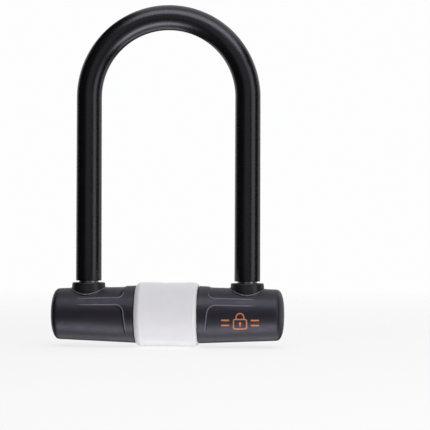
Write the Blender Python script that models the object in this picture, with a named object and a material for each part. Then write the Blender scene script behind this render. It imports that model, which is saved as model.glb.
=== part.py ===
"""A bicycle U-lock: a coated steel bow, and a crossbar that holds the lock cylinder and two deadbolts.

Metres, +Z up. The crossbar lies along X with its axis through the origin, the bow stands up along +Z,
and the front faces -Y. The bolts are drawn back, so the bow is free to lift out of the crossbar.
"""

import math

import bmesh
import bpy
from mathutils import Matrix, Vector

GAP = 0.0003  # between pieces that touch on the real lock

# The bow: a round steel rod in a vinyl coat.
LEG_X = 0.057  # from the middle of the crossbar to a leg's axis, which is also the bend's radius
BEND_Z = 0.1552  # height of the bend's centre
CORE_R = 0.007
COAT_R = 0.009  # round the bend, where it is stretched thin
COAT_END_R = 0.0092
COAT_END_Z = 0.0239
FOOT_Z = -0.0115
FOOT_CHAMFER = 0.0012
BEND_STEPS = 18
ROD_SIDES = 20

# The crossbar's steel tube, and the plastic parts on it.
TUBE_R = 0.016
TUBE_INNER_R = 0.013
TUBE_END_X = 0.0758
BAR_END_X = 0.0833
COVER_START_X = 0.02275
COVER_R = 0.0205
COVER_END_R = 0.0183
END_DOME = 0.0063  # length of the rounded end
END_DOME_POWER = 2.7
END_FLAT_R = 0.006
COLLAR_R = 0.0124  # at its foot; it tapers to COLLAR_TOP_R
COLLAR_TOP_R = 0.01185
COLLAR_TOP_Z = 0.0226
BAR_SIDES = 32

# The turning dust cover and the barrel that it turns on.
SLEEVE_END_X = 0.02245
SLEEVE_SHOULDER_X = 0.0193
SLEEVE_R = 0.02295
SLEEVE_WAIST_R = 0.02265
SLEEVE_EDGE_R = 0.0204
SLEEVE_INNER_R = 0.0196
BARREL_R = 0.0192
BARREL_END_X = 0.0218
SEAL_GROOVE_X = (0.0175, 0.0195)
SEAL_GROOVE_R = 0.0175
WINDOW_R = 0.0093

# The lock cylinder, upright in the middle of the crossbar with its keyway facing down.
HOUSING_R = 0.0105
HOUSING_NECK_R = 0.009
HOUSING_SHOULDER_Z = -0.0072
HOUSING_FACE_Z = -0.0165
HOUSING_TOP_Z = 0.001
HOUSING_BORE_R = 0.0078
HOUSING_LIP_R = 0.0066
ROTOR_R = 0.0075
ROTOR_FACE_Z = -0.0152
ROTOR_INNER_R = 0.0062
DISC_R = 0.0059
DISC_THICKNESS = 0.0012
SPACER_THICKNESS = 0.0005
DISC_COUNT = 5
DISC_PITCH = DISC_THICKNESS + SPACER_THICKNESS + 2 * GAP
DISC_START_Z = -0.0134
KEYWAY_HALF = (0.0013, 0.0038)

# The tube's inserts, and small fixings.
GUIDE_X = (0.024, 0.043)
SOCKET_X = (0.0462, 0.0683)
PLUG_X = (0.069, 0.0756)
PLUG_PIN_X = 0.0723
PLUG_PIN_R = 0.0015
PLUG_PIN_HALF = 0.0156
SET_SCREW_R = 0.002
SET_SCREW_Z = -0.003
SET_SCREW_END_Y = 0.015
DETENT_R = 0.0015
DETENT_FLOOR_Z = 0.0142
DETENT_BALL_Z = 0.01775
DETENT_SPRING_Z = (0.0145, 0.0159)

# The bolts and the spiral cam that drives them.
BOLT_TRAVEL = 0.006
TURN = math.pi / 2
PIN_START_R = 0.0026  # the drive pins' distance from the cam's axis with the bolts drawn back
PIN_R = 0.0012
CAM_R = 0.011
CAM_Z = (0.0013, 0.0043)
CAM_SCREW_CIRCLE_R = 0.0065
CAM_SCREW_HOLE_R = 0.00145
CAM_SCREW_HEAD_R = 0.0022
TONGUE_Z = (0.0049, 0.0074)
BOLT_INNER_X = 0.012
BOLT_TIP_X = 0.0489
BOLT_HALF_HEIGHT = 0.004
BOLT_HALF_WIDTH = 0.0045
NOTCH_FLOOR_X = BOLT_TIP_X + BOLT_TRAVEL + GAP

FINISHES = {  # colour, roughness, metallic
    "vinyl": ((0.012, 0.012, 0.015), 0.35, 0.0),
    "moulded": ((0.045, 0.044, 0.052), 0.55, 0.0),
    "sleeve": ((0.60, 0.59, 0.62), 0.45, 0.0),
    "rubber": ((0.02, 0.02, 0.02), 0.8, 0.0),
    "nylon": ((0.10, 0.10, 0.11), 0.5, 0.0),
    "steel": ((0.45, 0.45, 0.46), 0.35, 1.0),
    "hardened": ((0.30, 0.30, 0.31), 0.4, 1.0),
    "zinc": ((0.50, 0.50, 0.52), 0.45, 1.0),
    "brass": ((0.62, 0.46, 0.20), 0.35, 1.0),
}


def clear_scene():
    for obj in list(bpy.data.objects):
        bpy.data.objects.remove(obj, do_unlink=True)


def finish_material(name, finish):
    colour, roughness, metallic = FINISHES[finish]
    made = bpy.data.materials.new(f"{name} {finish}")
    made.use_nodes = True
    shader = made.node_tree.nodes["Principled BSDF"]
    shader.inputs["Base Color"].default_value = (*colour, 1.0)
    shader.inputs["Roughness"].default_value = roughness
    shader.inputs["Metallic"].default_value = metallic
    made.diffuse_color = (*colour, 1.0)
    return made


def tidied(bm):
    bmesh.ops.remove_doubles(bm, verts=bm.verts, dist=1e-7)
    bmesh.ops.recalc_face_normals(bm, faces=bm.faces)
    mesh = bpy.data.meshes.new("solid")
    bm.to_mesh(mesh)
    bm.free()
    return mesh


def lofted(rings, closed):
    """A skin over rings of points, which come back to the first ring or are capped at both ends."""
    bm = bmesh.new()
    rows = [[bm.verts.new(point) for point in ring] for ring in rings]
    following = rows[1:] + rows[:1] if closed else rows[1:]
    for row, after in zip(rows, following):
        count = len(row)
        for i in range(count):
            j = (i + 1) % count
            bm.faces.new((row[i], row[j], after[j], after[i]))
    if not closed:
        bm.faces.new(rows[0])
        bm.faces.new(rows[-1])
    return tidied(bm)


def turned(profile, axis="Z", sides=24):
    """A profile of (along the axis, radius) points spun round the axis, closed on itself or at radius 0."""
    bm = bmesh.new()
    verts = [bm.verts.new((radius, 0.0, along)) for along, radius in profile]
    hollow = min(radius for _, radius in profile) > 0
    following = verts[1:] + verts[:1] if hollow else verts[1:]
    edges = [bm.edges.new(pair) for pair in zip(verts, following)]
    bmesh.ops.spin(bm, geom=verts + edges, cent=(0, 0, 0), axis=(0, 0, 1), steps=sides, angle=math.tau)
    bmesh.ops.transform(bm, matrix=along_axis(axis), verts=bm.verts)
    return tidied(bm)


def along_axis(axis):
    """The rotation that takes +Z to the named axis."""
    return {
        "X": Matrix.Rotation(math.pi / 2, 4, "Y"),
        "Y": Matrix.Rotation(-math.pi / 2, 4, "X"),
        "Z": Matrix.Identity(4),
    }[axis]


def rod(low, high, radius, axis="Z", sides=24, centre=(0, 0, 0)):
    """A solid cylinder from low to high along an axis through the centre."""
    mesh = turned([(low, 0.0), (low, radius), (high, radius), (high, 0.0)], axis, sides)
    mesh.transform(Matrix.Translation(centre))
    return mesh


def washer(low, high, inner, outer, axis="Z", sides=24):
    return turned([(low, inner), (low, outer), (high, outer), (high, inner)], axis, sides)


def block(low, high):
    bm = bmesh.new()
    bmesh.ops.create_cube(bm, size=1.0)
    size = Vector(high) - Vector(low)
    middle = (Vector(high) + Vector(low)) / 2
    placed = Matrix.Translation(middle) @ Matrix.Diagonal((*size, 1.0))
    bmesh.ops.transform(bm, matrix=placed, verts=bm.verts)
    return tidied(bm)


def prism(outline, low, high, axis="Z"):
    """An outline pushed from low to high along +Z, or along +Y with the outline in X and Z."""
    if axis == "Z":
        rings = [[(x, y, level) for x, y in outline] for level in (low, high)]
    else:
        rings = [[(x, level, z) for x, z in outline] for level in (low, high)]
    return lofted(rings, closed=False)


def loose_object(name, mesh):
    obj = bpy.data.objects.new(name, mesh)
    bpy.context.scene.collection.objects.link(obj)
    return obj


def carved(mesh, cutters, operation="DIFFERENCE"):
    """The mesh with each cutter taken out of it, or joined to it."""
    body = loose_object("body", mesh)
    tools = [loose_object("tool", cutter) for cutter in cutters]
    for tool in tools:
        modifier = body.modifiers.new("carve", "BOOLEAN")
        modifier.operation = operation
        modifier.object = tool
    graph = bpy.context.evaluated_depsgraph_get()
    made = bpy.data.meshes.new_from_object(body.evaluated_get(graph))
    for obj in [body, *tools]:
        bpy.data.objects.remove(obj, do_unlink=True)
    return made


def add_piece(name, mesh, finish, parent=None, location=(0, 0, 0), turn=0.0):
    """One piece of the lock, shaded smooth except at its edges."""
    mesh = mesh.copy()
    mesh.name = name
    mesh.shade_smooth()
    mesh.set_sharp_from_angle(angle=math.radians(35))
    mesh.materials.clear()
    mesh.materials.append(finish_material(name, finish))
    obj = loose_object(name, mesh)
    obj.parent = parent
    obj.location = location
    obj.rotation_euler = (0, 0, turn)
    return obj


def add_pair(name, mesh, finish, parents=(None, None)):
    """The piece at the right, and the same piece turned half round the middle for the left."""
    add_piece(f"right_{name}", mesh, finish, parents[0])
    add_piece(f"left_{name}", mesh, finish, parents[1], turn=math.pi)


def add_joint(name):
    """An empty at the origin, which every joint's axis passes through."""
    return loose_object(name, None)


def ring(centre, tangent, radius, sides=ROD_SIDES):
    """A circle of points round a place on a path that stays in the XZ plane."""
    across = Vector((0, 1, 0))
    inward = tangent.cross(across)
    turns = [math.tau * i / sides for i in range(sides)]
    return [centre + radius * (math.cos(a) * across + math.sin(a) * inward) for a in turns]


def bow_stations(end_z):
    """(place, direction) up the left leg from end_z, round the bend, and down the right leg to end_z."""
    up = Vector((0, 0, 1))
    stations = [(Vector((-LEG_X, 0, end_z)), up)]
    for i in range(BEND_STEPS + 1):
        angle = math.pi * (1 - i / BEND_STEPS)
        place = Vector((LEG_X * math.cos(angle), 0, BEND_Z + LEG_X * math.sin(angle)))
        stations.append((place, Vector((math.sin(angle), 0, -math.cos(angle)))))
    stations.append((Vector((LEG_X, 0, end_z)), -up))
    return stations


def coat_radius(level):
    down_leg = max(0.0, (BEND_Z - level) / (BEND_Z - COAT_END_Z))
    return COAT_R + down_leg * (COAT_END_R - COAT_R)


def add_bow(joint):
    rings = [ring(place, way, CORE_R) for place, way in bow_stations(FOOT_Z + FOOT_CHAMFER)]
    left_tip, right_tip = Vector((-LEG_X, 0, FOOT_Z)), Vector((LEG_X, 0, FOOT_Z))
    rings.insert(0, ring(left_tip, Vector((0, 0, 1)), CORE_R - FOOT_CHAMFER))
    rings.append(ring(right_tip, Vector((0, 0, -1)), CORE_R - FOOT_CHAMFER))
    half = BOLT_HALF_HEIGHT + 0.0005
    notches = [
        block((-NOTCH_FLOOR_X, -0.01, -half), (-LEG_X + 0.009, 0.01, half)),
        block((LEG_X - 0.009, -0.01, -half), (NOTCH_FLOOR_X, 0.01, half)),
    ]
    add_piece("shackle_core", carved(lofted(rings, closed=False), notches), "hardened", joint)
    stations = bow_stations(COAT_END_Z)
    outside = [ring(place, way, coat_radius(place.z)) for place, way in stations]
    inside = [ring(place, way, CORE_R + GAP) for place, way in reversed(stations)]
    # The inner rings run back, so their directions are kept and only their order is reversed.
    add_piece("shackle_coating", lofted(outside + inside, closed=True), "vinyl", joint)


def add_crossbar_tube():
    tube = washer(-TUBE_END_X, TUBE_END_X, TUBE_INNER_R, TUBE_R, "X", BAR_SIDES)
    holes = [rod(-0.02, 0.0, HOUSING_NECK_R + GAP)]
    for side in (-1, 1):
        holes.append(rod(0.0, 0.02, CORE_R + 0.0005, centre=(side * LEG_X, 0, 0)))
        holes.append(rod(-0.02, 0.02, 0.0018, "Y", 12, centre=(side * PLUG_PIN_X, 0, 0)))
    holes.append(rod(0.0, 0.02, SET_SCREW_R + GAP, "Y", 12, centre=(0, 0, SET_SCREW_Z)))
    holes.append(rod(DETENT_FLOOR_Z, 0.02, DETENT_R + GAP, sides=16))
    add_piece("crossbar_tube", carved(tube, holes), "steel")


def cover_profile():
    """The cover's tapering outside, from its inner end to the flat at its outer end."""
    chamfer = 0.0004
    start, end = COVER_START_X, BAR_END_X - END_DOME
    points = [(start, COVER_R - chamfer), (start + chamfer, COVER_R), (end, COVER_END_R)]
    for i in range(1, 7):
        radius = END_FLAT_R + (COVER_END_R - END_FLAT_R) * math.cos(math.pi / 2 * i / 7)
        depth = (1 - (radius / COVER_END_R) ** END_DOME_POWER) ** (1 / END_DOME_POWER)
        points.append((end + END_DOME * depth, radius))
    return points + [(BAR_END_X, END_FLAT_R), (BAR_END_X, 0.0)]


def add_covers():
    inside_x, inner = TUBE_END_X + GAP, TUBE_R + GAP
    profile = [(inside_x, 0.0), (inside_x, inner), (COVER_START_X, inner), *cover_profile()]
    hole = rod(0.0, 0.03, COLLAR_R + GAP, sides=32, centre=(LEG_X, 0, 0))
    add_pair("cover", carved(turned(profile, "X", BAR_SIDES), [hole]), "moulded")


def add_collars():
    """A tapered bush round each leg, shaped to the tube below, with a groove that holds a rubber seal."""
    bore, low, high, rounding = CORE_R + 0.0004, 0.0105, COLLAR_TOP_Z, 0.0006
    profile = [(low, bore), (low, COLLAR_R), (0.0175, COLLAR_R - 0.0002), (high - rounding, COLLAR_TOP_R)]
    profile += [(high, COLLAR_TOP_R - rounding), (high, bore + rounding), (high - rounding, bore)]
    groove_low, groove_high, groove_r = 0.0191, 0.0211, 0.0091
    profile += [(groove_high, bore), (groove_high, groove_r), (groove_low, groove_r), (groove_low, bore)]
    collar = turned(profile, sides=28)
    collar.transform(Matrix.Translation((LEG_X, 0, 0)))
    saddle = rod(0.03, 0.08, TUBE_R + GAP, "X", BAR_SIDES)
    add_pair("collar", carved(collar, [saddle]), "rubber")
    seal = round_ring(0.0082, 0.00085)
    seal.transform(Matrix.Translation((LEG_X, 0, (groove_low + groove_high) / 2)))
    add_pair("leg_seal", seal, "rubber")


def round_ring(radius, thickness, axis="Z", sides=24, around=6):
    """An O-ring about the origin."""
    turns = [math.tau * i / around for i in range(around)]
    profile = [(thickness * math.sin(a), radius + thickness * math.cos(a)) for a in turns]
    return turned(profile, axis, sides)


def add_tube_inserts():
    radius = TUBE_INNER_R - GAP
    passage = (BOLT_HALF_WIDTH + 0.0004, BOLT_HALF_HEIGHT + 0.0004)
    slot = block((0.02, -passage[0], -passage[1]), (LEG_X, passage[0], passage[1]))
    guide = rod(*GUIDE_X, radius, "X", BAR_SIDES)
    add_pair("bolt_guide", carved(guide, [slot]), "zinc")
    bore = rod(-0.02, 0.02, CORE_R + 0.0004, centre=(LEG_X, 0, 0))
    socket = rod(*SOCKET_X, radius, "X", BAR_SIDES)
    add_pair("foot_socket", carved(socket, [bore, slot]), "zinc")
    pin_hole = rod(-0.02, 0.02, PLUG_PIN_R + GAP, "Y", 12, centre=(PLUG_PIN_X, 0, 0))
    plug = rod(*PLUG_X, radius, "X", BAR_SIDES)
    add_pair("tube_plug", carved(plug, [pin_hole]), "steel")
    chamfer = 0.0004
    end = PLUG_PIN_HALF
    profile = [(-end, 0.0), (-end, PLUG_PIN_R - chamfer), (-end + chamfer, PLUG_PIN_R)]
    profile += [(end - chamfer, PLUG_PIN_R), (end, PLUG_PIN_R - chamfer), (end, 0.0)]
    pin = turned(profile, "Y", 12)
    pin.transform(Matrix.Translation((PLUG_PIN_X, 0, 0)))
    add_pair("plug_pin", pin, "steel")


def add_barrel():
    """The plastic barrel under the dust cover, its two seal rings and its spring-loaded ball."""
    inner, floor = TUBE_R + GAP, SEAL_GROOVE_R
    near, far = SEAL_GROOVE_X
    profile = [(-BARREL_END_X, inner), (-BARREL_END_X, BARREL_R)]
    profile += [(-far, BARREL_R), (-far, floor), (-near, floor), (-near, BARREL_R)]
    profile += [(-along, radius) for along, radius in reversed(profile)]
    holes = [rod(-0.03, 0.0, HOUSING_NECK_R + GAP, sides=32), rod(0.0, 0.03, DETENT_R + GAP, sides=16)]
    add_piece("bearing_barrel", carved(turned(profile, "X", BAR_SIDES), holes), "nylon")
    for side, name in ((-1, "left_seal_ring"), (1, "right_seal_ring")):
        place = (side * (near + far) / 2, 0, 0)
        add_piece(name, round_ring(0.0185, 0.00075, "X"), "rubber", location=place)
    bm = bmesh.new()
    bmesh.ops.create_icosphere(bm, subdivisions=2, radius=DETENT_R)
    add_piece("detent_ball", tidied(bm), "hardened", location=(0, 0, DETENT_BALL_Z))
    add_piece("detent_spring", coil(0.0011, 0.00022, *DETENT_SPRING_Z, 2.5), "steel")


def coil(radius, wire, low, high, turns):
    """A small coil spring about +Z, its wire's centre from low + wire to high - wire."""
    steps = round(turns * 12)
    rings = []
    for i in range(steps + 1):
        angle = math.tau * turns * i / steps
        level = low + wire + (high - low - 2 * wire) * i / steps
        out = Vector((math.cos(angle), math.sin(angle), 0))
        centre = radius * out + Vector((0, 0, level))
        section = [math.tau * j / 6 for j in range(6)]
        rings.append([centre + wire * (math.cos(b) * out + Vector((0, 0, math.sin(b)))) for b in section])
    return lofted(rings, closed=False)


def add_dust_cover(joint):
    """A sleeve with a round window, which is at the back until the sleeve turns it to the keyway."""
    outer = [(-SLEEVE_END_X, SLEEVE_EDGE_R)]
    for share in (0.35, 0.7):
        angle = share * math.pi / 2
        along = (SLEEVE_END_X - SLEEVE_SHOULDER_X) * (1 - math.cos(angle))
        rise = (SLEEVE_R - SLEEVE_EDGE_R) * math.sin(angle)
        outer.append((-SLEEVE_END_X + along, SLEEVE_EDGE_R + rise))
    outer += [(-SLEEVE_SHOULDER_X, SLEEVE_R), (-0.008, (SLEEVE_R + SLEEVE_WAIST_R) / 2)]
    outer += [(0.0, SLEEVE_WAIST_R)]
    outer += [(-along, radius) for along, radius in reversed(outer[:-1])]
    profile = [(-SLEEVE_END_X, SLEEVE_INNER_R), *outer, (SLEEVE_END_X, SLEEVE_INNER_R)]
    window = rod(0.0, 0.03, WINDOW_R, "Y", 32)
    dimple_depth = 0.0008
    dimples = [
        rod(0.018, SLEEVE_INNER_R + dimple_depth, DETENT_R, "Z", 12),
        rod(-SLEEVE_INNER_R - dimple_depth, -0.018, DETENT_R, "Y", 12),
    ]
    sleeve = carved(turned(profile, "X", BAR_SIDES), [window, *dimples])
    add_piece("dust_cover", sleeve, "sleeve", joint)


def add_cylinder_housing():
    lip_z = HOUSING_FACE_Z + 0.001
    profile = [(HOUSING_FACE_Z, HOUSING_LIP_R), (HOUSING_FACE_Z, HOUSING_NECK_R)]
    profile += [(HOUSING_SHOULDER_Z, HOUSING_NECK_R), (HOUSING_SHOULDER_Z, HOUSING_R)]
    profile += [(HOUSING_TOP_Z, HOUSING_R), (HOUSING_TOP_Z, HOUSING_BORE_R)]
    profile += [(lip_z, HOUSING_BORE_R), (lip_z, HOUSING_LIP_R)]
    add_piece("cylinder_housing", turned(profile, sides=32), "brass")
    tip, head, socket = HOUSING_R + GAP, SET_SCREW_END_Y, 0.0009
    profile = [(tip, 0.0), (tip, 0.0014), (tip + 0.0006, SET_SCREW_R), (head, SET_SCREW_R)]
    profile += [(head, socket), (head - 0.0018, socket), (head - 0.0018, 0.0)]
    screw = turned(profile, "Y", 12)
    add_piece("cylinder_set_screw", screw, "steel", location=(0, 0, SET_SCREW_Z))


def cam_screw_places():
    turns = [math.radians(angle) for angle in (40, 220)]
    return [(CAM_SCREW_CIRCLE_R * math.cos(a), CAM_SCREW_CIRCLE_R * math.sin(a)) for a in turns]


def at_cam_screws(mesh):
    """A copy of the mesh at each of the cam's screws."""
    copies = [mesh.copy() for _ in cam_screw_places()]
    for copy, (x, y) in zip(copies, cam_screw_places()):
        copy.transform(Matrix.Translation((x, y, 0)))
    return copies


def add_rotor(joint):
    """The drum that the key turns, with its slotted discs, the washers between them and the sidebar."""
    wide, long = KEYWAY_HALF
    cutters = [rod(ROTOR_FACE_Z + 0.0015, -0.0024, ROTOR_INNER_R)]
    cutters.append(block((-wide, -long, ROTOR_FACE_Z - 0.001), (wide, long, ROTOR_FACE_Z + 0.002)))
    cutters.append(block((-0.0011, 0.005, -0.0132), (0.0011, 0.009, -0.003)))
    cutters += at_cam_screws(rod(-0.002, 0.002, CAM_SCREW_HOLE_R, sides=10))
    drum = rod(ROTOR_FACE_Z, HOUSING_TOP_Z, ROTOR_R, sides=32)
    add_piece("cylinder_rotor", carved(drum, cutters), "brass", joint)
    keyway = block((-wide, -long, -0.001), (wide, long, 0.003))
    gate = block((-0.0009, DISC_R - 0.0012, -0.001), (0.0009, DISC_R + 0.001, 0.003))
    disc = carved(rod(0.0, DISC_THICKNESS, DISC_R), [keyway, gate])
    spacer = washer(0.0, SPACER_THICKNESS, 0.0042, DISC_R, sides=20)
    for i in range(DISC_COUNT):
        level = DISC_START_Z + i * DISC_PITCH
        add_piece(f"lock_disc_{i + 1}", disc, "steel", joint, (0, 0, level))
        if i < DISC_COUNT - 1:
            place = (0, 0, level + DISC_THICKNESS + GAP)
            add_piece(f"disc_spacer_{i + 1}", spacer, "brass", joint, place)
    add_piece("sidebar", block((-0.0008, 0.00625, -0.0128), (0.0008, 0.00735, -0.0034)), "steel", joint)


def spiral_slot(start, half_width):
    """The outline that a round pin needs while it moves out BOLT_TRAVEL in one TURN of the cam."""
    pitch = BOLT_TRAVEL / TURN
    left, right = [], []
    for i in range(13):
        turn = TURN * i / 12
        radius = PIN_START_R + pitch * turn
        angle = start - turn
        centre = Vector((radius * math.cos(angle), radius * math.sin(angle)))
        way = Vector((pitch * math.cos(angle) + radius * math.sin(angle), 0.0))
        way.y = pitch * math.sin(angle) - radius * math.cos(angle)
        way.normalize()
        side = half_width * Vector((-way.y, way.x))
        left.append(centre + side)
        right.append(centre - side)
        if i == 0:
            first = [centre + Matrix.Rotation(math.radians(a), 2) @ side for a in range(150, 0, -30)]
        if i == 12:
            last = [centre + Matrix.Rotation(math.radians(-a), 2) @ side for a in range(30, 180, 30)]
    return left + last + right[::-1] + first


def add_cam(joint):
    low, high = CAM_Z
    slots = [prism(spiral_slot(start, PIN_R + GAP), low - 0.001, high + 0.001) for start in (0.0, math.pi)]
    shanks = at_cam_screws(rod(low - 0.001, high + 0.001, CAM_SCREW_HOLE_R, sides=10))
    heads = at_cam_screws(rod(high - 0.0014, high + 0.001, CAM_SCREW_HEAD_R + GAP, sides=16))
    add_piece("bolt_cam", carved(rod(low, high, CAM_R, sides=40), slots + shanks + heads), "hardened", joint)
    head, shank, socket = CAM_SCREW_HEAD_R, CAM_SCREW_HOLE_R - GAP, 0.0008
    top = high - 0.0001
    profile = [(-0.0017, 0.0), (-0.0017, shank), (top - 0.001, shank), (top - 0.001, head)]
    profile += [(top, head), (top, socket), (top - 0.0006, socket), (top - 0.0006, 0.0)]
    screw = turned(profile, sides=12)
    for i, (x, y) in enumerate(cam_screw_places()):
        add_piece(f"cam_screw_{i + 1}", screw, "steel", joint, (x, y, 0))


def add_bolts(joints):
    low, high = TONGUE_Z
    half, chamfer = BOLT_HALF_HEIGHT, 0.0015
    outline = [(0.0004, low), (BOLT_INNER_X, low), (BOLT_INNER_X, -half), (BOLT_TIP_X - chamfer, -half)]
    outline += [(BOLT_TIP_X, -half + chamfer), (BOLT_TIP_X, half - chamfer), (BOLT_TIP_X - chamfer, half)]
    outline += [(BOLT_INNER_X + 0.004, half), (BOLT_INNER_X + 0.004, high), (0.0004, high)]
    bar = prism(outline, -BOLT_HALF_WIDTH, BOLT_HALF_WIDTH, "Y")
    hole = rod(0.004, 0.01, PIN_R + GAP, sides=16, centre=(PIN_START_R, 0, 0))
    add_pair("deadbolt", carved(bar, [hole]), "hardened", joints)
    pin = rod(CAM_Z[0] + 0.0005, high, PIN_R, sides=16, centre=(PIN_START_R, 0, 0))
    add_pair("drive_pin", pin, "hardened", joints)


def main():
    clear_scene()
    add_bow(add_joint("shackle_slide"))
    add_crossbar_tube()
    add_covers()
    add_collars()
    add_tube_inserts()
    add_barrel()
    add_dust_cover(add_joint("dust_cover_turn"))
    add_cylinder_housing()
    rotor_joint = add_joint("key_turn")
    add_rotor(rotor_joint)
    add_cam(rotor_joint)
    add_bolts((add_joint("right_bolt_slide"), add_joint("left_bolt_slide")))


main()
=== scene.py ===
"""How the U-lock looks: its coated bow, moulded covers, turning sleeve and finishes.

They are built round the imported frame, in metres and in its own axes: the crossbar lies along X, the bow
stands up along +Z, and the front faces -Y.
"""

import math

import bmesh
import bpy
import numpy as np
from mathutils import Matrix, Vector


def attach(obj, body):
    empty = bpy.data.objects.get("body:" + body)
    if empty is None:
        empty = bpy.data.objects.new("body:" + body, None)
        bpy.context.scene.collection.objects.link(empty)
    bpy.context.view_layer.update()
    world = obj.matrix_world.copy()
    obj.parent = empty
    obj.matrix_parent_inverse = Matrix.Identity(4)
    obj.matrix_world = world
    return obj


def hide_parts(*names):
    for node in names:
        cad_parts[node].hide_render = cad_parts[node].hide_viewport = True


# The bow.
LEG_X = 0.057
BEND_Z = 0.1552
CORE_R = 0.007
COAT_R = 0.009
COAT_END_R = 0.0092
COAT_INNER_R = 0.0074
COAT_END_Z = 0.0239
COAT_END_ROUND = 0.0006
FOOT_Z = -0.0115
FOOT_CHAMFER = 0.0012
NOTCH_HALF = 0.0045
NOTCH_FLOOR_X = 0.0552
NOTCH_MOUTH_X = 0.0502
NOTCH_FLARE = 0.0006  # size of the bevels at its mouth and floor

# The covers: a taper with a rounded end, and two shallow panels with a band between them.
COVER_START_X = 0.02275
COVER_START_R = 0.0205
COVER_SHOULDER_X = 0.077
COVER_SHOULDER_R = 0.0183
COVER_END_X = 0.0833
DOME_POWER = 2.7
COVER_START_ROUND = 0.0004
COVER_INNER_R = 0.0163
COVER_INNER_END_X = 0.0761
PANEL_ARC_R = 0.0194  # arcs on the cover are measured at this radius
UPPER_EDGE = math.radians(38.0)
FRONT_EDGE = math.radians(22.4)
EDGE_WIDTH = 0.0005
SIDE_WIDTH = (0.0026, 0.0014)  # of the slopes at the upper and front panels' sides
PANEL_ROUND = (0.0038, 0.0055)  # of the upper and front panels' corners
PANEL_SIDE = ((0.0308, 0.11), (0.0303, 0.11))  # where each panel's side starts, and how it leans
UPPER_DEPTH = ((0.028, 0.034, 0.044, 0.058, 0.066), (0.0006, 0.00068, 0.00042, 0.0003, 0.0))
FRONT_DEPTH = ((0.031, 0.036, 0.044, 0.052, 0.067), (0.0011, 0.0009, 0.00062, 0.0004, 0.0))
FRONT_FADE = (0.010, 0.015)  # the front panel fades out this far below its edge, over this length
LINE_END_X = 0.064
LINE_SIDES = (0.0065, 0.021)  # how far the lines run down each panel's side
LINE_HALF_WIDTH = 0.00042
LINE_HEIGHT = 0.00027

# The collars and the holes that they stand in.
COLLAR_R = 0.01232
COLLAR_TOP_R = 0.01175
COLLAR_TOP_Z = 0.0226
COLLAR_ROUND = 0.0007
COLLAR_BORE_R = 0.0074
COLLAR_GROOVE_R = 0.0091
COLLAR_GROOVE_Z = (0.0191, 0.0211)
COLLAR_SEAT_R = 0.0163
COLLAR_HOLE_R = 0.01246
RIM_RISE = 0.0012  # how far the hole's rim stands up at the front and back
RIM_WIDTH = 0.0012
RIM_ROUND = 0.00015

# The turning sleeve and its round window.
SLEEVE_END_X = 0.0222
SLEEVE_SHOULDER_X = 0.0186
SLEEVE_RIGHT_SHARE = 1.75  # how much shorter the right end's chamfer is than the left end's
SLEEVE_RIDGE = 0.00018
SLEEVE_RIDGE_IN = 0.0041  # from the end
SLEEVE_RIDGE_HALF = 0.0006
SLEEVE_R = 0.02295
SLEEVE_WAIST_R = 0.02265
SLEEVE_EDGE_R = 0.0207
SLEEVE_INNER_R = 0.0196
WINDOW_R = 0.0093
WINDOW_ROUND = 0.0005

# The printed pictogram on the right cover.
SIGN_X = 0.0532
SIGN_ANGLE = math.radians(-11.3)
SIGN_LIFT = 0.00012
SIGN_SINK = 0.0001
SIGN_LINE = 0.0009
LOCK_BODY = (-0.0021, 0.0046, 0.0036)  # middle's height, half width, half height
ARCH_R = 0.0027
ARCH_RISE = 0.0016
KEYHOLE_R = 0.0009
BAR_U = 0.0105
BAR_V = (0.0008, -0.0030)
BAR_HALF = (0.0029, 0.0006)

# The stage.
PALE = (0.985, 0.985, 0.99)
FLOOR_RINGS = (0.2, 0.6, 1.2)
FLOOR_FADE = (0.25, 1.1)
FLOOR_GAP = 0.0001

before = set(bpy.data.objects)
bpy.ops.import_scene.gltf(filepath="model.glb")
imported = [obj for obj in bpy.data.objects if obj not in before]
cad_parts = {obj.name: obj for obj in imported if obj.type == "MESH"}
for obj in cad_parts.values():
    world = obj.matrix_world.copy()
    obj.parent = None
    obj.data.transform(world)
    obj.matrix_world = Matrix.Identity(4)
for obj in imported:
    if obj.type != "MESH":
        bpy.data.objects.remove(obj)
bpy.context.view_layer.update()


# ---------------------------------------------------------------- meshes


class Skin:
    """Points and faces gathered for one mesh."""

    def __init__(self):
        self.points = []
        self.faces = []

    def add(self, points):
        start = len(self.points)
        self.points.extend(tuple(map(float, point)) for point in points)
        return list(range(start, len(self.points)))

    def strip(self, row, after, closed=True):
        last = len(row) if closed else len(row) - 1
        for i in range(last):
            j = (i + 1) % len(row)
            self.faces.append((row[i], row[j], after[j], after[i]))

    def skin_rows(self, rings, closed=True, around=False):
        rows = [self.add(ring) for ring in rings]
        for row, after in zip(rows, rows[1:]):
            self.strip(row, after, closed)
        if around:
            self.strip(rows[-1], rows[0], closed)
        return rows

    def cap(self, row, centre):
        middle = self.add([centre])[0]
        for i, point in enumerate(row):
            self.faces.append((point, row[(i + 1) % len(row)], middle))

    def piece(self, name, finish, crease=32):
        mesh = bpy.data.meshes.new(name)
        mesh.from_pydata(self.points, [], self.faces)
        bm = bmesh.new()
        bm.from_mesh(mesh)
        bmesh.ops.remove_doubles(bm, verts=bm.verts, dist=1e-7)
        bmesh.ops.recalc_face_normals(bm, faces=bm.faces)
        bm.to_mesh(mesh)
        bm.free()
        mesh.shade_smooth()
        mesh.set_sharp_from_angle(angle=math.radians(crease))
        mesh.materials.append(finish)
        obj = bpy.data.objects.new(name, mesh)
        bpy.context.scene.collection.objects.link(obj)
        return obj


def smooth(t):
    t = np.clip(t, 0.0, 1.0)
    return t * t * (3 - 2 * t)


def half_wave(t):
    """A smooth bump that is 1 at t = 0 and 0 from -1 and 1 outward."""
    return np.cos(np.clip(t, -1.0, 1.0) * math.pi / 2) ** 2


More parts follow.
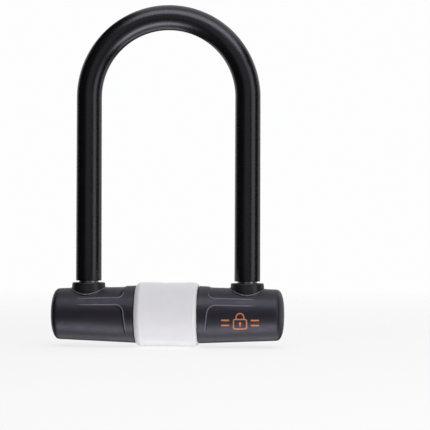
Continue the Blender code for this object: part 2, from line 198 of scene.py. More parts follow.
def circle(centre, first, second, radius, sides):
    """Points round a circle that starts at the first direction and turns towards the second."""
    turns = np.linspace(0, math.tau, sides, endpoint=False)[:, None]
    way = np.cos(turns) * np.array(first) + np.sin(turns) * np.array(second)
    return np.array(centre) + radius * way


def on_side(obj, side):
    """The piece, which is drawn for the right, turned half round when it is for the left."""
    if side < 0:
        obj.data.transform(Matrix.Rotation(math.pi, 4, "Z"))
    return obj


# ---------------------------------------------------------------- the bow


def bow_stations(end_z, leg_steps, bend_steps):
    """(place, direction) up the left leg, round the bend and down the right leg."""
    heights = np.linspace(end_z, BEND_Z, leg_steps, endpoint=False)
    up = [((-LEG_X, 0, z), (0, 0, 1)) for z in heights]
    bend = []
    for turn in np.linspace(math.pi, 0, bend_steps):
        place = (LEG_X * math.cos(turn), 0, BEND_Z + LEG_X * math.sin(turn))
        bend.append((place, (math.sin(turn), 0, -math.cos(turn))))
    down = [((LEG_X, 0, z), (0, 0, -1)) for z in heights[::-1]]
    return up + bend + down


def bow_ring(station, radius, sides):
    place, way = station
    inward = np.cross(way, (0, 1, 0))
    return circle(place, (0, 1, 0), inward, radius, sides)


def coat_radius(level):
    """The coat is a little thicker down the legs, where it isn't stretched round the bend."""
    down_leg = max(0.0, (BEND_Z - level) / (BEND_Z - COAT_END_Z))
    return COAT_R + down_leg * (COAT_END_R - COAT_R)


def add_coating(finish):
    sides = 72
    stations = bow_stations(COAT_END_Z + COAT_END_ROUND, 5, 97)
    lip = []
    for turn in np.linspace(0, math.pi / 2, 6):
        radius = COAT_END_R - COAT_END_ROUND * (1 - math.sin(turn))
        level = COAT_END_Z + COAT_END_ROUND * (1 - math.cos(turn))
        lip.append((level, radius))
    start = [bow_ring(((-LEG_X, 0, level), (0, 0, 1)), radius, sides) for level, radius in lip]
    end = [bow_ring(((LEG_X, 0, level), (0, 0, -1)), radius, sides) for level, radius in reversed(lip)]
    outside = [bow_ring(station, coat_radius(station[0][2]), sides) for station in stations[1:-1]]
    inner_stations = bow_stations(COAT_END_Z, 1, 49)
    inside = [bow_ring(station, COAT_INNER_R, sides) for station in reversed(inner_stations)]
    skin = Skin()
    skin.skin_rows(start + outside + end + inside, around=True)
    return skin.piece("bow_coating", finish)


def notch_cutter(side):
    """A milled slot with bevelled edges, as a block to cut from a foot."""
    clear_x, clear_y, spread = 0.0475, 0.01, 0.0028
    half = [
        (clear_x, -NOTCH_HALF - spread),
        (NOTCH_MOUTH_X, -NOTCH_HALF - NOTCH_FLARE),
        (NOTCH_MOUTH_X + NOTCH_FLARE, -NOTCH_HALF),
        (NOTCH_FLOOR_X - NOTCH_FLARE, -NOTCH_HALF),
        (NOTCH_FLOOR_X, -NOTCH_HALF + NOTCH_FLARE),
    ]
    outline = [(side * x, z) for x, z in half]
    outline += [(x, -z) for x, z in reversed(outline)]
    skin = Skin()
    rows = skin.skin_rows([[(x, y, z) for x, z in outline] for y in (-clear_y, clear_y)])
    skin.faces += [tuple(rows[0]), tuple(rows[1])]
    return skin


def carved(obj, cutters):
    """The object with each cutter's shape taken out of it."""
    for cutter in cutters:
        modifier = obj.modifiers.new("carve", "BOOLEAN")
        modifier.object = cutter
        modifier.solver = "EXACT"
    graph = bpy.context.evaluated_depsgraph_get()
    mesh = bpy.data.meshes.new_from_object(obj.evaluated_get(graph))
    obj.modifiers.clear()
    obj.data = mesh
    for cutter in cutters:
        bpy.data.objects.remove(cutter, do_unlink=True)
    mesh.shade_smooth()
    mesh.set_sharp_from_angle(angle=math.radians(32))
    return obj


def add_core(finish):
    sides = 56
    stations = bow_stations(FOOT_Z + FOOT_CHAMFER, 6, 65)
    rings = [bow_ring(station, CORE_R, sides) for station in stations]
    ends = (((-LEG_X, 0, FOOT_Z), (0, 0, 1)), ((LEG_X, 0, FOOT_Z), (0, 0, -1)))
    feet = [bow_ring(station, CORE_R - FOOT_CHAMFER, sides) for station in ends]
    skin = Skin()
    rows = skin.skin_rows(feet[:1] + rings + feet[1:])
    skin.cap(rows[0], (-LEG_X, 0, FOOT_Z))
    skin.cap(rows[-1], (LEG_X, 0, FOOT_Z))
    core = skin.piece("bow_core", finish)
    return carved(core, [notch_cutter(side).piece("notch", finish) for side in (-1, 1)])


# ---------------------------------------------------------------- shells round the crossbar


def on_bar(x, turn, radius):
    """A point at a turn round the crossbar: 0 is the front, and a quarter turn is the top."""
    return np.stack([x + 0 * turn, -radius * np.cos(turn), radius * np.sin(turn)], axis=-1)


def radius_at(outer, x, across, hole_turn):
    """The turn and radius where the surface lies at a distance across from a hole's middle line."""
    turn = hole_turn + 0 * across
    for _ in range(6):
        radius = outer(x, turn)
        turn = hole_turn + np.arcsin(np.clip(across / radius, -1, 1))
    return turn, outer(x, turn)


class Shell:
    """A hollow turned shape about the crossbar, with one round hole through its wall."""

    def __init__(self, xs, turns, outer, inner_r, inner_end_x):
        self.xs, self.turns, self.outer = np.array(xs), np.array(turns), outer
        self.inner_r = inner_r
        self.inner_xs = self.xs[self.xs < inner_end_x - 1e-6].tolist() + [inner_end_x]
        self.skin = Skin()

    def grid(self, xs, radius_of):
        return [self.skin.add(on_bar(x, self.turns, radius_of(x, self.turns))) for x in xs]

    def fill(self, rows, block):
        """The cells between the rows, apart from those in the block."""
        (i0, i1), (j0, j1) = block
        count = len(self.turns)
        for i in range(len(rows) - 1):
            for j in range(count):
                if i0 <= i < i1 and j0 <= j < j1:
                    continue
                k = (j + 1) % count
                self.skin.faces.append((rows[i][j], rows[i][k], rows[i + 1][k], rows[i + 1][j]))

    def block_round(self, x, turn, reach, spread):
        i0, i1 = (int(np.argmin(abs(self.xs - (x + side * reach)))) for side in (-1, 1))
        j0, j1 = (int(np.argmin(abs(self.turns - (turn + side * spread)))) for side in (-1, 1))
        return (i0, i1), (j0, j1)

    @staticmethod
    def border(block):
        (i0, i1), (j0, j1) = block
        cells = [(i, j0) for i in range(i0, i1)] + [(i1, j) for j in range(j0, j1)]
        return cells + [(i, j1) for i in range(i1, i0, -1)] + [(i0, j) for j in range(j1, j0, -1)]

    def pierce(self, rows, inner_rows, block, hole, lip, steps):
        """Rings from the block's border in to the hole, down its wall, and back out on the inside."""
        hole_x, hole_turn, hole_r = hole
        border = self.border(block)
        x = np.array([self.xs[i] for i, _ in border])
        turn = np.array([self.turns[j] for _, j in border])
        across = self.outer(x, turn) * np.sin(turn - hole_turn)
        way = np.arctan2(across, x - hole_x)
        rim_x, rim_across = hole_x + hole_r * np.cos(way), hole_r * np.sin(way)
        previous = [rows[i][j] for i, j in border]
        crowding = 1.7  # brings the rings closer together near the hole
        for k in range(1, steps + 1):
            share = (1 - k / steps) ** crowding
            ring_x = rim_x + share * (x - rim_x)
            ring_across = rim_across + share * (across - rim_across)
            ring_turn, radius = radius_at(self.outer, ring_x, ring_across, hole_turn)
            radius = radius + lip(np.hypot(ring_x - hole_x, ring_across) - hole_r, ring_across)
            ring = self.skin.add(on_bar(ring_x, ring_turn, radius))
            self.skin.strip(previous, ring)
            previous = ring
        top = radius * np.cos(ring_turn - hole_turn)
        rim_across = radius * np.sin(ring_turn - hole_turn)
        bottom = np.sqrt(self.inner_r**2 - rim_across**2)
        for share in (0.15, 0.6, 1.0):
            depth = top + share * (bottom - top)
            radius = np.hypot(depth, rim_across)
            ring = self.skin.add(on_bar(rim_x, hole_turn + np.arctan2(rim_across, depth), radius))
            self.skin.strip(previous, ring)
            previous = ring
        self.skin.strip(previous, [inner_rows[i][j] for i, j in border])

    def build(self, hole, reach, spread, lip, steps, closed_end):
        """The whole shell. A block of cells this far round the hole gives way to rings."""
        rows = self.grid(self.xs, self.outer)
        inner_rows = self.grid(self.inner_xs, lambda x, turn: self.inner_r + 0 * turn)
        block = self.block_round(hole[0], hole[1], reach, spread)
        self.fill(rows, block)
        self.fill(inner_rows, block)
        self.pierce(rows, inner_rows, block, hole, lip, steps)
        self.skin.strip(rows[0], inner_rows[0])
        if closed_end:
            self.skin.cap(rows[-1], (COVER_END_X, 0, 0))
            self.skin.cap(inner_rows[-1], (self.inner_xs[-1], 0, 0))
        else:
            self.skin.strip(rows[-1], inner_rows[-1])
        return self.skin


def stepped(*runs):
    """Numbers from each run's start towards its end by its step, with the last run's end."""
    values = []
    for start, end, step in runs:
        count = max(1, round((end - start) / step))
        values += np.linspace(start, end, count, endpoint=False).tolist()
    return values + [runs[-1][1]]


# ---------------------------------------------------------------- the covers


def taper_radius(x):
    share = (x - COVER_START_X) / (COVER_SHOULDER_X - COVER_START_X)
    radius = COVER_START_R + share * (COVER_SHOULDER_R - COVER_START_R)
    start = np.clip((COVER_START_X + COVER_START_ROUND - x) / COVER_START_ROUND, 0, 1)
    radius = radius - COVER_START_ROUND * (1 - np.sqrt(1 - start**2))
    dome = np.clip((x - COVER_SHOULDER_X) / (COVER_END_X - COVER_SHOULDER_X), 0, 1)
    radius = np.where(x > COVER_SHOULDER_X, COVER_SHOULDER_R, radius)
    return radius * (1 - dome**DOME_POWER) ** (1 / DOME_POWER)


def corner_inset(first, second, rounding):
    """How far a point is inside two edges that meet in a round corner, and the second edge's share."""
    a, b = rounding - first, rounding - second
    both = (a > 0) & (b > 0)
    inset = np.where(both, rounding - np.hypot(a, b), np.minimum(first, second))
    share = np.where(both, b**2 / (a**2 + b**2 + 1e-12), np.where(second < first, 1.0, 0.0))
    return inset, share


def panel_depth(panel, x, away, depths):
    """How deep a panel lies below the taper, at a distance away from its long edge."""
    rounding, (start, lean) = PANEL_ROUND[panel], PANEL_SIDE[panel]
    inset, share = corner_inset(away, x - (start - lean * np.maximum(away, 0)), rounding)
    width = EDGE_WIDTH + (SIDE_WIDTH[panel] - EDGE_WIDTH) * share
    return np.interp(x, *depths) * smooth(inset / width)


def cover_radius(x, turn):
    """The taper, less the panel round the collar and the front one, which fades out downward."""
    height = np.arcsin(np.clip(np.sin(turn), -1, 1))
    above = (height - UPPER_EDGE) * PANEL_ARC_R
    below = (FRONT_EDGE - height) * PANEL_ARC_R
    fade = 1 - smooth((below - FRONT_FADE[0]) / FRONT_FADE[1])
    upper = panel_depth(0, x, above, UPPER_DEPTH)
    front = panel_depth(1, x, below, FRONT_DEPTH) * fade
    return taper_radius(x) - upper - front


def rim_edge(beyond, across):
    """The hole's rim stands up where the cover falls away from it, and its edge is rounded."""
    rise = RIM_RISE * (across / COLLAR_HOLE_R) ** 2 * (1 - smooth(beyond / RIM_WIDTH))
    return rise - RIM_ROUND * (1 - smooth(beyond / RIM_ROUND))


def cover_turns():
    """The cover's turns, close together where the panels' edges run."""
    fine, medium, coarse = math.radians(0.28), math.radians(1), math.radians(2.2)
    near, far, corner = math.radians(2.2), math.radians(3.6), math.radians(17)
    front, upper = FRONT_EDGE, UPPER_EDGE
    quarter = stepped(
        (-math.pi / 2, front - corner, coarse),
        (front - corner, front - far, 2.5 * fine),
        (front - far, front + near, fine),
        (front + near, upper - near, medium),
        (upper - near, upper + far, fine),
        (upper + far, math.pi / 2, coarse),
    )
    back = [math.pi - turn for turn in reversed(quarter)]
    return quarter[:-1] + back[:-1]


def add_cover(name, finish, side):
    round_end_x, sides_start_x, sides_end_x = COVER_START_X + COVER_START_ROUND, 0.0266, 0.0366
    dome_length = COVER_END_X - COVER_SHOULDER_X
    dome = [
        COVER_SHOULDER_X + dome_length * math.sin(a) ** (2 / DOME_POWER)
        for a in np.linspace(0.12, math.pi / 2 - 0.05, 22)
    ]
    xs = stepped(
        (COVER_START_X, round_end_x, 0.0001),
        (round_end_x, sides_start_x, 0.0008),
        (sides_start_x, sides_end_x, 0.0002),
        (sides_end_x, COVER_SHOULDER_X, 0.0009),
    )
    shell = Shell(xs + dome, cover_turns(), cover_radius, COVER_INNER_R, COVER_INNER_END_X)
    hole = (LEG_X, math.pi / 2, COLLAR_HOLE_R)
    reach, spread = 0.0146, math.radians(48.5)
    skin = shell.build(hole, reach, spread, rim_edge, steps=26, closed_end=True)
    return on_side(skin.piece(name, finish, crease=40), side)


def panel_outline(panel, side_length, facing):
    """(x, turn) along a panel's edge from its outer end, round its corner and down its side."""
    rounding, (start, lean) = PANEL_ROUND[panel], PANEL_SIDE[panel]
    edge, sense = ((UPPER_EDGE, 1), (FRONT_EDGE, -1))[panel]
    step = 0.0005
    path = [(x, 0.0) for x in np.arange(LINE_END_X, start + rounding, -step)]
    for t in np.linspace(0, math.pi / 2, 14):
        first, second = rounding * (1 - math.cos(t)), rounding * (1 - math.sin(t))
        path.append((start + second - lean * first, first))
    path += [(start - lean * first, first) for first in np.arange(rounding, side_length, step)[1:]]
    x, away = np.array(path).T
    height = edge + sense * away / PANEL_ARC_R
    return x, height if facing > 0 else math.pi - height


def hole_outline():
    """(x, turn, rise) round a collar's hole, just outside its edge."""
    around = np.linspace(0, math.tau, 120, endpoint=False)
    reach = COLLAR_HOLE_R + LINE_HALF_WIDTH
    x, across = LEG_X + reach * np.cos(around), reach * np.sin(around)
    turn, _ = radius_at(cover_radius, x, across, math.pi / 2)
    return x, turn, rim_edge(LINE_HALF_WIDTH, across)


def add_line(skin, x, turn, rise=0.0, closed=False):
    """A fine half-round bead on the cover along a path, which thins out at open ends."""
    middle = on_bar(x, turn, cover_radius(x, turn) + rise)
    ahead = np.roll(middle, -1, 0) - np.roll(middle, 1, 0)
    size = np.ones(len(x))
    if not closed:
        ahead[0], ahead[-1] = middle[1] - middle[0], middle[-1] - middle[-2]
        run, thinnest, thinning = np.linspace(0, 1, len(x)), 0.15, 0.12
        size = thinnest + (1 - thinnest) * smooth(np.minimum(run, 1 - run) / thinning)
    ahead /= np.linalg.norm(ahead, axis=1)[:, None]
    out = on_bar(0 * x, turn, 1.0)
    side = np.cross(ahead, out)
    widths, heights = side * LINE_HALF_WIDTH, out * LINE_HEIGHT
    rings = [circle(*shape, 10) for shape in zip(middle, widths, heights, size)]
    rows = skin.skin_rows(rings, around=closed)
    if not closed:
        skin.faces += [tuple(rows[0]), tuple(rows[-1])]


def add_trim(name, finish, side):
    """The fine moulded lines along the panels' edges and round the collar's hole; their pale finish
    paints a highlight along them.
    """
    skin = Skin()
    for facing in (-1, 1):
        for panel, side_length in enumerate(LINE_SIDES):
            add_line(skin, *panel_outline(panel, side_length, facing))
    add_line(skin, *hole_outline(), closed=True)
    return on_side(skin.piece(name, finish, crease=60), side)


def add_collar(name, finish, side):
    """A tapered bush whose foot follows the tube below it."""
    across = circle((0, 0, 0), (1, 0, 0), (0, 1, 0), 1.0, 112)

    def level_ring(radius, level):
        return across * radius + np.array([LEG_X, 0, level])

    def seat_ring(radius):
        ring = level_ring(radius, 0)
        ring[:, 2] = np.sqrt(COLLAR_SEAT_R**2 - ring[:, 1] ** 2)
        return ring

    def top_ring(radius, turn, outward):
        radius -= outward * COLLAR_ROUND * (1 - math.cos(turn))
        return level_ring(radius, COLLAR_TOP_Z - COLLAR_ROUND * (1 - math.sin(turn)))

    rings = [seat_ring(radius) for radius in np.linspace(COLLAR_BORE_R, COLLAR_R, 4)]
    lower, upper = rings[-1], level_ring(COLLAR_TOP_R, COLLAR_TOP_Z - COLLAR_ROUND)
    rings += [lower + share * (upper - lower) for share in np.linspace(0.1, 0.95, 8)]
    rings += [top_ring(COLLAR_TOP_R, turn, 1) for turn in np.linspace(0, math.pi / 2, 7)]
    rings += [top_ring(COLLAR_BORE_R, turn, -1) for turn in np.linspace(math.pi / 2, 0, 5)]
    low, high = COLLAR_GROOVE_Z
    rings += [level_ring(COLLAR_BORE_R, high), level_ring(COLLAR_GROOVE_R, high)]
    rings += [level_ring(COLLAR_GROOVE_R, low), level_ring(COLLAR_BORE_R, low)]
    skin = Skin()
    skin.skin_rows(rings, around=True)
    return on_side(skin.piece(name, finish), side)


# ---------------------------------------------------------------- the sleeve


def sleeve_radius(x, turn):
    """A slight waist, then a fine ridge and a chamfer at each end, nearer the end on the right."""
    x = x + 0 * turn
    from_end = (SLEEVE_END_X - abs(x)) * np.where(x > 0, SLEEVE_RIGHT_SHARE, 1.0)
    depths = [0.0, 0.0002, 0.0005, 0.0010, 0.0017, 0.0024, 0.0030, 0.0036]
    radii = [SLEEVE_EDGE_R, 0.02110, 0.02136, 0.02172, 0.02220, 0.02262, 0.02286, SLEEVE_R]
    waist = SLEEVE_WAIST_R + (SLEEVE_R - SLEEVE_WAIST_R) * smooth(abs(x) / SLEEVE_SHOULDER_X)
    ridge = SLEEVE_RIDGE * half_wave((from_end - SLEEVE_RIDGE_IN) / SLEEVE_RIDGE_HALF)
    return np.minimum(waist, np.interp(from_end, depths, radii)) + ridge


def window_edge(beyond, _across):
    inside = np.clip(1 - beyond / WINDOW_ROUND, 0, 1)
    return -WINDOW_ROUND * (1 - np.sqrt(1 - inside**2))


def add_sleeve(finish):
    shaped_x = 0.0172  # where the ridges and chamfers begin
    half = stepped((0.0, shaped_x, 0.0011), (shaped_x, SLEEVE_END_X, 0.00016))
    xs = [-x for x in reversed(half[1:])] + half
    turns = np.linspace(-math.pi / 2, 1.5 * math.pi, 200, endpoint=False)
    shell = Shell(xs, turns, sleeve_radius, SLEEVE_INNER_R, SLEEVE_END_X)
    hole = (0.0, math.pi, WINDOW_R)
    reach, spread = 0.0122, math.radians(34)
    skin = shell.build(hole, reach, spread, window_edge, steps=22, closed_end=False)
    return skin.piece("sleeve", finish, crease=45)


# ---------------------------------------------------------------- the pictogram


def on_sign(u, v, lift):
    """A place on the right cover, u along the bar and v up its front from the sign's middle."""
    x = SIGN_X + np.asarray(u, float)
    turn = SIGN_ANGLE + np.asarray(v, float) / PANEL_ARC_R
    return on_bar(x, turn, cover_radius(x, turn) + lift)


def rounded_path(corners, rounding, steps=6):
    """A closed outline with each corner rounded."""
    points = []
    count = len(corners)
    for i, corner in enumerate(corners):
        before, after = Vector(corners[i - 1]), Vector(corners[(i + 1) % count])
        corner = Vector(corner)
        start = corner + (before - corner).normalized() * rounding
        end = corner + (after - corner).normalized() * rounding
        for t in np.linspace(0, 1, steps):
            points.append((1 - t) ** 2 * start + 2 * t * (1 - t) * corner + t**2 * end)
    return [tuple(point) for point in points]


def box_corners(u, v, half_u, half_v):
    left, right, low, high = u - half_u, u + half_u, v - half_v, v + half_v
    return [(left, low), (right, low), (right, high), (left, high)]


def stamp(skin, outline):
    """A filled shape raised just above the cover."""
    u, v = np.array(outline).T
    rows = [skin.add(on_sign(u, v, lift)) for lift in (-SIGN_SINK, SIGN_LIFT)]
    skin.strip(*rows)
    skin.faces += [tuple(rows[0]), tuple(rows[1])]


def ribbon(skin, path, closed):
    """A raised line of even width along a path."""
    path = np.array(path, float)
    ahead = np.roll(path, -1, 0) - np.roll(path, 1, 0)
    if not closed:
        ahead[0], ahead[-1] = path[1] - path[0], path[-1] - path[-2]
    ahead /= np.linalg.norm(ahead, axis=1)[:, None]
    side = np.stack([-ahead[:, 1], ahead[:, 0]], axis=1) * SIGN_LINE / 2
    rows = []
    corners = ((1, SIGN_LIFT), (-1, SIGN_LIFT), (-1, -SIGN_SINK), (1, -SIGN_SINK))
    for way, lift in corners:
        rows.append(skin.add(on_sign(*(path + way * side).T, lift)))
    for row, after in zip(rows, rows[1:] + rows[:1]):
        skin.strip(row, after, closed)
    if not closed:
        skin.faces += [tuple(row[0] for row in rows), tuple(row[-1] for row in rows)]


def divided(path, step):
    """The closed path with points no further apart than the step."""
    points = []
    for start, end in zip(path, path[1:] + path[:1]):
        start, end = np.array(start), np.array(end)
        count = max(1, math.ceil(np.linalg.norm(end - start) / step))
        points += [tuple(start + (end - start) * i / count) for i in range(count)]
    return points


def add_sign(finish):
    """A plain padlock between two pairs of bars."""
    skin = Skin()
    body_v, half_u, half_v = LOCK_BODY
    body = rounded_path(box_corners(0, body_v, half_u, half_v), 0.0012)
    ribbon(skin, divided(body, 0.0004), closed=True)
    spring_v = body_v + half_v
    arch = [(-ARCH_R, spring_v + rise) for rise in np.linspace(0, ARCH_RISE, 5)]
    for a in np.linspace(math.pi, 0, 25):
        arch.append((ARCH_R * math.cos(a), spring_v + ARCH_RISE + ARCH_R * math.sin(a)))
    arch += [(ARCH_R, spring_v + rise) for rise in np.linspace(ARCH_RISE, 0, 5)]
    ribbon(skin, arch, closed=False)
    eye_v = body_v + 0.0007
    turns = np.linspace(0, math.tau, 24, endpoint=False)
    stamp(skin, [(KEYHOLE_R * math.cos(a), eye_v + KEYHOLE_R * math.sin(a)) for a in turns])
    stamp(skin, box_corners(0, body_v - 0.0009, 0.0004, 0.0010))
    for u in (-BAR_U, BAR_U):
        for v in BAR_V:
            bar = rounded_path(box_corners(u, v, *BAR_HALF), 0.0005)
            stamp(skin, divided(bar, 0.001))
    return skin.piece("sign", finish)


# ---------------------------------------------------------------- materials


class Material:
    """A node material built up a layer at a time."""

    def __init__(self, name):
        self.made = bpy.data.materials.new(name)
        self.made.use_nodes = True
        self.nodes = self.made.node_tree.nodes
        self.links = self.made.node_tree.links
        self.shader = self.nodes["Principled BSDF"]
        self.place = self.nodes.new("ShaderNodeTexCoord").outputs["Object"]

    def noise(self, size, detail=2.0, stretch=(1, 1, 1), roughness=0.5):
        """Noise whose features are about this size."""
        mapping = self.nodes.new("ShaderNodeMapping")
        mapping.inputs["Scale"].default_value = tuple(1 / (size * s) for s in stretch)
        self.links.new(self.place, mapping.inputs["Vector"])
        noise = self.nodes.new("ShaderNodeTexNoise")
        noise.inputs["Scale"].default_value = 1.0
        noise.inputs["Detail"].default_value = detail
        noise.inputs["Roughness"].default_value = roughness
        self.links.new(mapping.outputs["Vector"], noise.inputs["Vector"])
        return noise.outputs["Fac"]

    def span(self, value, low, high, start=0.3, end=0.7):
        """The value from start to end, mapped to low to high."""
        node = self.nodes.new("ShaderNodeMapRange")
        for name, number in (("From Min", start), ("From Max", end), ("To Min", low), ("To Max", high)):
            node.inputs[name].default_value = number
        self.links.new(value, node.inputs["Value"])
        return node.outputs["Result"]

    def combine(self, first, second, operation="ADD"):
        node = self.nodes.new("ShaderNodeMath")
        node.operation = operation
        self.links.new(first, node.inputs[0])
        self.links.new(second, node.inputs[1])
        return node.outputs["Value"]

    def blend(self, share, first, second):
        node = self.nodes.new("ShaderNodeMix")
        node.data_type = "RGBA"
        for socket, colour in ((6, first), (7, second)):
            if isinstance(colour, tuple):
                node.inputs[socket].default_value = (*colour, 1.0)
            else:
                self.links.new(colour, node.inputs[socket])
        self.links.new(share, node.inputs["Factor"])
        return node.outputs[2]

    def bump(self, height, depth):
        node = self.nodes.new("ShaderNodeBump")
        node.inputs["Distance"].default_value = depth
        self.links.new(height, node.inputs["Height"])
        self.links.new(node.outputs["Normal"], self.shader.inputs["Normal"])

    def feed(self, socket, value):
        self.links.new(value, self.shader.inputs[socket])

    def fix(self, socket, value):
        self.shader.inputs[socket].default_value = value


def shaded(colour, factor):
    return tuple(min(1.0, channel * factor) for channel in colour)


def moulded(name, colour, roughness, grain, variation=0.12, scuff=0.5, gloss_change=0.05, specular=0.5,
            tint=(1.0, 1.0, 1.0), glow=0.0):
    """Plastic or rubber with a fine mould grain, uneven colour and gloss, and a few pale scuffs."""
    made = Material(name)
    grain_size, grain_depth = grain
    cloud = made.span(made.noise(0.022, 4.0), 0.0, 1.0)
    body = made.blend(cloud, shaded(colour, 1 - variation), shaded(colour, 1 + variation))
    marks = made.span(made.noise(0.0016, 5.0, (9, 1.4, 1)), 0.0, scuff, 0.68, 0.86)
    made.feed("Base Color", made.blend(marks, body, shaded(colour, 1.6)))
    gloss = made.span(made.noise(0.006, 3.0), roughness - gloss_change, roughness + gloss_change)
    made.feed("Roughness", made.combine(gloss, made.span(marks, 0.0, 0.12, 0.0, 1.0)))
    made.bump(made.noise(grain_size, 2.0, roughness=0.6), grain_depth)
    made.fix("Specular IOR Level", specular)
    made.fix("Specular Tint", (*tint, 1.0))
    if glow:
        made.fix("Subsurface Weight", glow)
        made.fix("Subsurface Radius", (1.0, 1.0, 1.0))
        made.fix("Subsurface Scale", 0.003)
    return made.made


def metal(name, colour, roughness, brushed=(1, 1, 1)):
    """Machined metal: fine lines along the stretch, cloudy gloss and faint stains."""
    made = Material(name)
    lines = made.noise(0.0002, 3.0, brushed)
    stain = made.span(made.noise(0.007, 5.0), 0.0, 1.0)
    made.feed("Base Color", made.blend(stain, shaded(colour, 0.82), shaded(colour, 1.08)))
    worn = made.span(made.noise(0.003, 4.0), roughness - 0.07, roughness + 0.09)
    made.feed("Roughness", made.combine(worn, made.span(lines, -0.05, 0.05)))
    made.bump(lines, 0.00002)
    made.fix("Metallic", 1.0)
    return made.made


# ---------------------------------------------------------------- stage


def add_light(name, azimuth, elevation, distance, size, radiance, target=(0.0, 0.0, 0.08)):
    """A soft panel that shines on the lock from an azimuth right of the front and an elevation."""
    a, e = math.radians(azimuth), math.radians(elevation)
    way = Vector((math.sin(a) * math.cos(e), -math.cos(a) * math.cos(e), math.sin(e)))
    data = bpy.data.lights.new(name, "AREA")
    data.shape = "RECTANGLE"
    data.size, data.size_y = size
    data.energy = radiance * math.pi * size[0] * size[1]
    light = bpy.data.objects.new(name, data)
    light.location = Vector(target) + way * distance
    light.rotation_euler = way.to_track_quat("Z", "Y").to_euler()
    light.visible_camera = False
    bpy.context.scene.collection.objects.link(light)


def split_by_ray(tree, camera_shader, other_shader):
    """Shows one shader to the camera and the other to everything else."""
    path = tree.nodes.new("ShaderNodeLightPath")
    mix = tree.nodes.new("ShaderNodeMixShader")
    tree.links.new(path.outputs["Is Camera Ray"], mix.inputs["Fac"])
    tree.links.new(other_shader, mix.inputs[1])
    tree.links.new(camera_shader, mix.inputs[2])
    return mix.outputs["Shader"]


def set_world():
    world = bpy.data.worlds.new("studio")
    bpy.context.scene.world = world
    world.use_nodes = True
    tree = world.node_tree
    seen = tree.nodes["Background"]
    seen.inputs["Color"].default_value = (*PALE, 1.0)
    dim = tree.nodes.new("ShaderNodeBackground")
    dim.inputs["Color"].default_value = (0.9, 0.92, 1.0, 1.0)
    dim.inputs["Strength"].default_value = 0.02
    shader = split_by_ray(tree, seen.outputs["Background"], dim.outputs["Background"])
    tree.links.new(shader, tree.nodes["World Output"].inputs["Surface"])


def floor_material():
    made = Material("floor")
    made.fix("Base Color", (0.2, 0.2, 0.205, 1.0))
    made.fix("Roughness", 0.9)
    made.fix("Specular IOR Level", 0.0)
    made.fix("Emission Color", (*PALE, 1.0))
    made.fix("Emission Strength", 0.78)
    length = made.nodes.new("ShaderNodeVectorMath")
    length.operation = "LENGTH"
    made.links.new(made.place, length.inputs[0])
    far = made.span(length.outputs["Value"], 0.0, 1.0, *FLOOR_FADE)
    path = made.nodes.new("ShaderNodeLightPath")
    clear = made.nodes.new("ShaderNodeBsdfTransparent")
    mix = made.nodes.new("ShaderNodeMixShader")
    made.links.new(made.combine(far, path.outputs["Is Camera Ray"], "MULTIPLY"), mix.inputs["Fac"])
    made.links.new(made.shader.outputs["BSDF"], mix.inputs[1])
    made.links.new(clear.outputs["BSDF"], mix.inputs[2])
    made.links.new(mix.outputs["Shader"], made.nodes["Material Output"].inputs["Surface"])
    return made.made


def add_floor():
    skin = Skin()
    level = -SLEEVE_R - SLEEVE_RIDGE - FLOOR_GAP
    rings = [circle((0, 0, level), (1, 0, 0), (0, 1, 0), radius, 64) for radius in FLOOR_RINGS]
    rows = skin.skin_rows(rings)
    skin.cap(rows[0], (0, 0, level))
    floor = skin.piece("floor", floor_material())
    # The panels below light the lock as a pale table would, so only the camera sees the floor itself.
    floor.visible_diffuse = False
    floor.visible_glossy = False
    floor.visible_shadow = False


def add_camera():
    azimuth, distance, roll = math.radians(4.8), 1.4, math.radians(0.2)
    target = Vector((0.03374, 0.0, 0.07118))
    data = bpy.data.cameras.new("camera")
    data.lens = 164.2
    data.clip_start, data.clip_end = 0.05, 20.0
    camera = bpy.data.objects.new("camera", data)
    way = Vector((math.sin(azimuth), -math.cos(azimuth), 0.0))
    facing = way.to_track_quat("Z", "Y").to_matrix().to_4x4()
    level = Matrix.Translation(target + way * distance) @ facing
    camera.matrix_world = level @ Matrix.Rotation(roll, 4, "Z")
    bpy.context.scene.collection.objects.link(camera)
    bpy.context.scene.camera = camera


def add_lights():
    above = ((30, 0.25), (57, 2.85), (90, 0.75), (120, 0.8), (150, 0.5))
    below = ((-30, 0.3), (-57, 3.85), (-90, 0.75), (-120, 1.35))
    middle = (0.32, 0, 0)
    for elevation, radiance in above + below:
        add_light(f"ring panel {elevation}", 0, elevation, 1.2, (1.6, 0.66), radiance, middle)
    add_light("front panel", 0, 0, 2.2, (2.0, 0.8), 0.27)
    add_light("right softbox", 58, 4, 1.2, (0.62, 1.0), 1.27)
    add_light("back right panel", 126, 0, 1.4, (0.8, 1.6), 0.68)
    add_light("back left panel", -134, 0, 1.4, (0.8, 1.6), 0.75)
    add_light("back panel", 180, 8, 1.4, (1.6, 0.9), 0.7)


# ---------------------------------------------------------------- assembly


def dress(finish, slot, *names):
    """Gives CAD nodes that stay as they are a finish."""
    for name in names:
        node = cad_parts[name]
        node.data.materials.clear()
        node.data.materials.append(finish)


def place(piece, body, slot, *nodes):
    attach(piece, body)
    if nodes:
        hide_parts(*nodes)


def both(*names):
    return [f"{side}_{name}" for side in ("left", "right") for name in names]


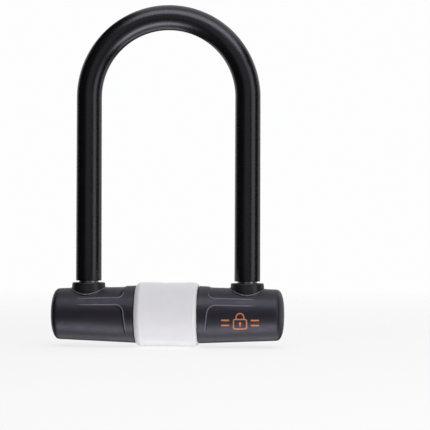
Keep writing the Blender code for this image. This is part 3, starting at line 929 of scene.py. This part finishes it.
def main():
    violet = (0.85, 0.80, 1.0)
    vinyl = moulded("bow vinyl", (0.0025, 0.0023, 0.0035), 0.27, (0.0016, 0.000002), scuff=0.08,
                    gloss_change=0.02, specular=0.72, tint=(0.9, 0.87, 1.0))
    cover = moulded("cover plastic", (0.0064, 0.006, 0.0078), 0.44, (0.00035, 0.00003), scuff=0.35,
                    specular=0.64, tint=violet)
    # The trim's pale colour is painted highlight: it makes the real beads along the panels' edges and
    # round the collar holes show as bright edge lines.
    painted_highlight_trim = moulded("trim plastic", (0.15, 0.143, 0.17), 0.24, (0.0004, 0.000004), scuff=0.2,
                   tint=violet)
    collar = moulded("collar plastic", (0.0095, 0.0093, 0.0115), 0.4, (0.0004, 0.000012), scuff=0.2)
    sleeve = moulded("sleeve plastic", (0.87, 0.855, 0.895), 0.42, (0.0005, 0.000008), variation=0.02,
                     scuff=0.06, specular=0.3, glow=0.6)
    nylon = moulded("barrel nylon", (0.05, 0.05, 0.055), 0.45, (0.0005, 0.00003))
    rubber = moulded("seal rubber", (0.015, 0.015, 0.016), 0.7, (0.0006, 0.00004))
    sign = moulded("sign print", (0.60, 0.20, 0.085), 0.4, (0.0004, 0.00001), scuff=0.1)
    hardened = metal("hardened steel", (0.30, 0.30, 0.31), 0.3, (1, 1, 0.06))
    steel = metal("tube steel", (0.5, 0.5, 0.51), 0.34, (0.06, 1, 1))
    zinc = metal("insert zinc", (0.52, 0.52, 0.55), 0.42)
    brass = metal("cylinder brass", (0.66, 0.48, 0.2), 0.3, (1, 1, 0.08))

    place(add_coating(vinyl), "shackle", "bow_vinyl", "shackle_coating")
    place(add_core(hardened), "shackle", "hardened_steel", "shackle_core")
    for side, name in ((1, "right"), (-1, "left")):
        place(add_cover(f"{name}_shell", cover, side), "crossbar", "cover_plastic", f"{name}_cover")
        place(add_trim(f"{name}_trim", painted_highlight_trim, side), "crossbar", "cover_plastic")
        place(add_collar(f"{name}_bush", collar, side), "crossbar", "collar_plastic", f"{name}_collar")
    place(add_sleeve(sleeve), "dust_cover", "sleeve_plastic", "dust_cover")
    place(add_sign(sign), "crossbar", "cover_plastic")

    dress(steel, "tube_steel", "crossbar_tube", *both("tube_plug", "plug_pin"))
    dress(steel, "tube_steel", "cylinder_set_screw", "cam_screw_1", "cam_screw_2")
    dress(steel, "tube_steel", "detent_spring", "sidebar")
    dress(steel, "tube_steel", *(f"lock_disc_{i}" for i in range(1, 6)))
    dress(hardened, "hardened_steel", "bolt_cam", "detent_ball", *both("deadbolt", "drive_pin"))
    dress(zinc, "insert_zinc", *both("bolt_guide", "foot_socket"))
    dress(brass, "cylinder_brass", "cylinder_housing", "cylinder_rotor")
    dress(brass, "cylinder_brass", *(f"disc_spacer_{i}" for i in range(1, 5)))
    dress(nylon, "barrel_nylon", "bearing_barrel")
    dress(rubber, "seal_rubber", *both("leg_seal", "seal_ring"))

    set_world()
    add_floor()
    add_lights()
    add_camera()
    bpy.context.scene.view_settings.view_transform = "Standard"


main()
